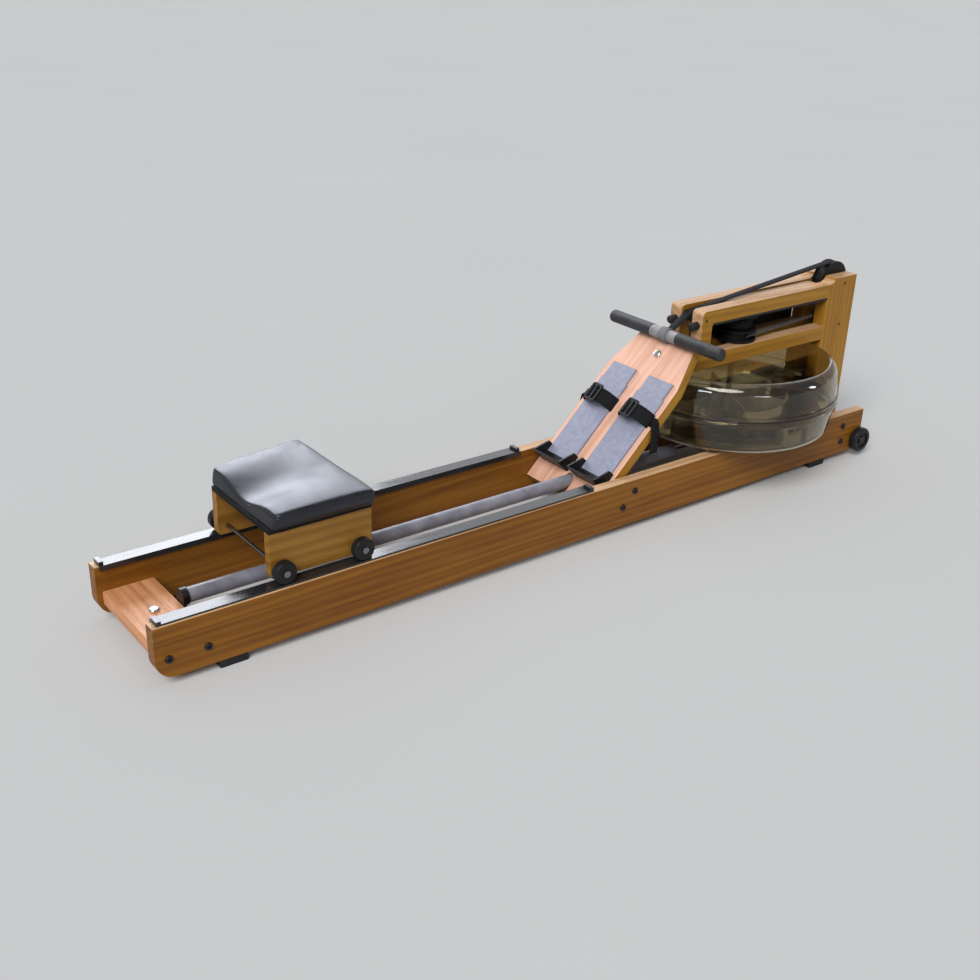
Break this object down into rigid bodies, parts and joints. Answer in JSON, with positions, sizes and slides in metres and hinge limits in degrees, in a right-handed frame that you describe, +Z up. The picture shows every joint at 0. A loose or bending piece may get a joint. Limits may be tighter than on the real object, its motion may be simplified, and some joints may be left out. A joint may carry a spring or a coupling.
{
  "type": "rowing machine",
  "caption": "Wooden rowing machine with a clear water tank as its brake, a rolling seat on rails, a sloping footboard with straps and a strap-drawn handle.",
  "frame": {"origin": "on the floor under the middle of the whole machine", "axes": "+X along the rails towards the tank, +Y to the left of a rower who faces the tank, +Z up"},
  "size_m": [2.09, 0.56, 0.517],
  "materials": {
    "oiled_wood": "oiled, fine straight grain",
    "pale_wood": "oiled, fine straight grain",
    "track_black": "polished",
    "black_plastic": "satin moulded",
    "wheel_black": "satin moulded",
    "rubber": "matt",
    "steel": "brushed",
    "chrome": "polished",
    "black_steel": "blackened",
    "plate_grey": "finely ribbed",
    "tank_clear": "clear, smoke tint",
    "water": "clear",
    "paddle_plastic": "moulded",
    "webbing": "woven",
    "cord": "braided",
    "tube_grey": "satin",
    "pad_vinyl": "soft vinyl, fine grain",
    "handle_grey": "satin"
  },
  "bodies": {
    "frame": {"rail_left": "oiled_wood", "rail_right": "oiled_wood", "track_left": "track_black", "track_right": "track_black", "rear_spacer": "pale_wood", "mid_spacer": "oiled_wood", "front_spacer": "oiled_wood", "rail_bolts": "black_steel", "rubber_feet": "rubber", "wheel_bolts": "black_steel", "dome_screws": "chrome", "post_left": "oiled_wood", "post_right": "oiled_wood", "top_arm_left": "oiled_wood", "top_arm_right": "oiled_wood", "lower_arm_left": "oiled_wood", "lower_arm_right": "oiled_wood", "head_block": "oiled_wood", "top_deck": "oiled_wood", "footboard": "pale_wood", "foot_plates": "plate_grey", "foot_strap_left": "webbing", "foot_strap_right": "webbing", "strap_buckles": "black_plastic", "handle_rests": "rubber", "tank_lower": "tank_clear", "tank_upper": "tank_clear", "tank_seal": "rubber", "water": "water", "shaft_bearings": "steel", "bridge_plate": "black_steel", "drive_strap": "webbing", "strap_run": "webbing", "pulley_axles": "steel", "recoil_cord": "cord", "recoil_tube": "tube_grey", "tube_bracket": "black_plastic"},
    "seat": {"seat_pad": "pad_vinyl", "seat_base": "black_plastic", "seat_cheek_left": "oiled_wood", "seat_cheek_right": "oiled_wood", "seat_brace": "oiled_wood", "seat_axles": "steel"},
    "handle": {"handle_bar": "handle_grey", "handle_grips": "rubber", "strap_loop": "webbing"},
    "drum": {"strap_drum": "black_plastic"},
    "paddle": {"paddle": "paddle_plastic"},
    "roller": {"guide_roller": "black_plastic"},
    "pulley": {"top_pulley": "black_plastic"},
    "recoil_upper": {"recoil_pulley_upper": "black_plastic"},
    "recoil_lower": {"recoil_pulley_lower": "black_plastic"},
    "heel_left": {"heel_cup_left": "black_plastic"},
    "heel_right": {"heel_cup_right": "black_plastic"},
    "carry_wheel_left": {"transport_wheel_left": "wheel_black"},
    "carry_wheel_right": {"transport_wheel_right": "wheel_black"},
    "seat_wheel_front_left": {"seat_wheel_front_left": "wheel_black"},
    "seat_wheel_front_right": {"seat_wheel_front_right": "wheel_black"},
    "seat_wheel_rear_left": {"seat_wheel_rear_left": "wheel_black"},
    "seat_wheel_rear_right": {"seat_wheel_rear_right": "wheel_black"}
  },
  "joints": [
    {"name": "seat_slide", "type": "slide", "parent": "frame", "child": "seat", "axis": [1, 0, 0], "range_m": [-0.238, 0.583]},
    {"name": "handle_pull", "type": "slide", "parent": "frame", "child": "handle", "axis": [-1, 0, 0], "range_m": [0, 1.05], "stiffness_N_per_m": 20, "springref_m": -1.25, "deforming": ["strap_run"]},
    {"name": "seat_wheel_front_left_spin", "type": "hinge", "parent": "seat", "child": "seat_wheel_front_left", "pos_m": [-0.5845, 0.1423, 0.1603], "axis": [0, 1, 0], "continuous": true},
    {"name": "seat_wheel_front_right_spin", "type": "hinge", "parent": "seat", "child": "seat_wheel_front_right", "pos_m": [-0.5845, -0.1423, 0.1603], "axis": [0, 1, 0], "continuous": true},
    {"name": "seat_wheel_rear_left_spin", "type": "hinge", "parent": "seat", "child": "seat_wheel_rear_left", "pos_m": [-0.7635, 0.1423, 0.1603], "axis": [0, 1, 0], "continuous": true},
    {"name": "seat_wheel_rear_right_spin", "type": "hinge", "parent": "seat", "child": "seat_wheel_rear_right", "pos_m": [-0.7635, -0.1423, 0.1603], "axis": [0, 1, 0], "continuous": true},
    {"name": "guide_roller_spin", "type": "hinge", "parent": "frame", "child": "roller", "pos_m": [0.464, 0, 0.446], "axis": [0, 1, 0], "continuous": true},
    {"name": "top_pulley_spin", "type": "hinge", "parent": "frame", "child": "pulley", "pos_m": [0.994, 0, 0.466], "axis": [0, 1, 0], "continuous": true},
    {"name": "recoil_upper_spin", "type": "hinge", "parent": "frame", "child": "recoil_upper", "pos_m": [0.994, 0, 0.3525], "axis": [0, 1, 0], "continuous": true},
    {"name": "recoil_lower_spin", "type": "hinge", "parent": "frame", "child": "recoil_lower", "pos_m": [0.994, 0, 0.109], "axis": [0, 1, 0], "continuous": true},
    {"name": "drum_spin", "type": "hinge", "parent": "frame", "child": "drum", "pos_m": [0.638, 0, 0.393], "axis": [0, 0, 1], "continuous": true},
    {"name": "paddle_spin", "type": "hinge", "parent": "frame", "child": "paddle", "pos_m": [0.638, 0, 0.19], "axis": [0, 0, 1], "continuous": true},
    {"name": "heel_left_slide", "type": "slide", "parent": "frame", "child": "heel_left", "axis": [0.7071, 0, 0.7071], "range_m": [0, 0.085]},
    {"name": "carry_wheel_left_spin", "type": "hinge", "parent": "frame", "child": "carry_wheel_left", "pos_m": [1.011, 0.1678, 0.048], "axis": [0, 1, 0], "continuous": true},
    {"name": "heel_right_slide", "type": "slide", "parent": "frame", "child": "heel_right", "axis": [0.7071, 0, 0.7071], "range_m": [0, 0.085]},
    {"name": "carry_wheel_right_spin", "type": "hinge", "parent": "frame", "child": "carry_wheel_right", "pos_m": [1.011, -0.1678, 0.048], "axis": [0, 1, 0], "continuous": true}
  ],
  "couplings": [
    {"joint": "seat_wheel_front_left_spin", "follows": "seat_slide", "rad_per_m": 41.667},
    {"joint": "seat_wheel_front_right_spin", "follows": "seat_slide", "rad_per_m": 41.667},
    {"joint": "seat_wheel_rear_left_spin", "follows": "seat_slide", "rad_per_m": 41.667},
    {"joint": "seat_wheel_rear_right_spin", "follows": "seat_slide", "rad_per_m": 41.667},
    {"joint": "guide_roller_spin", "follows": "handle_pull", "rad_per_m": -75.188},
    {"joint": "top_pulley_spin", "follows": "handle_pull", "rad_per_m": -20.284},
    {"joint": "recoil_upper_spin", "follows": "handle_pull", "rad_per_m": -51.6},
    {"joint": "recoil_lower_spin", "follows": "handle_pull", "rad_per_m": -51.6},
    {"joint": "drum_spin", "follows": "handle_pull", "rad_per_m": -28.169},
    {"joint": "paddle_spin", "follows": "handle_pull", "rad_per_m": -28.169}
  ]
}
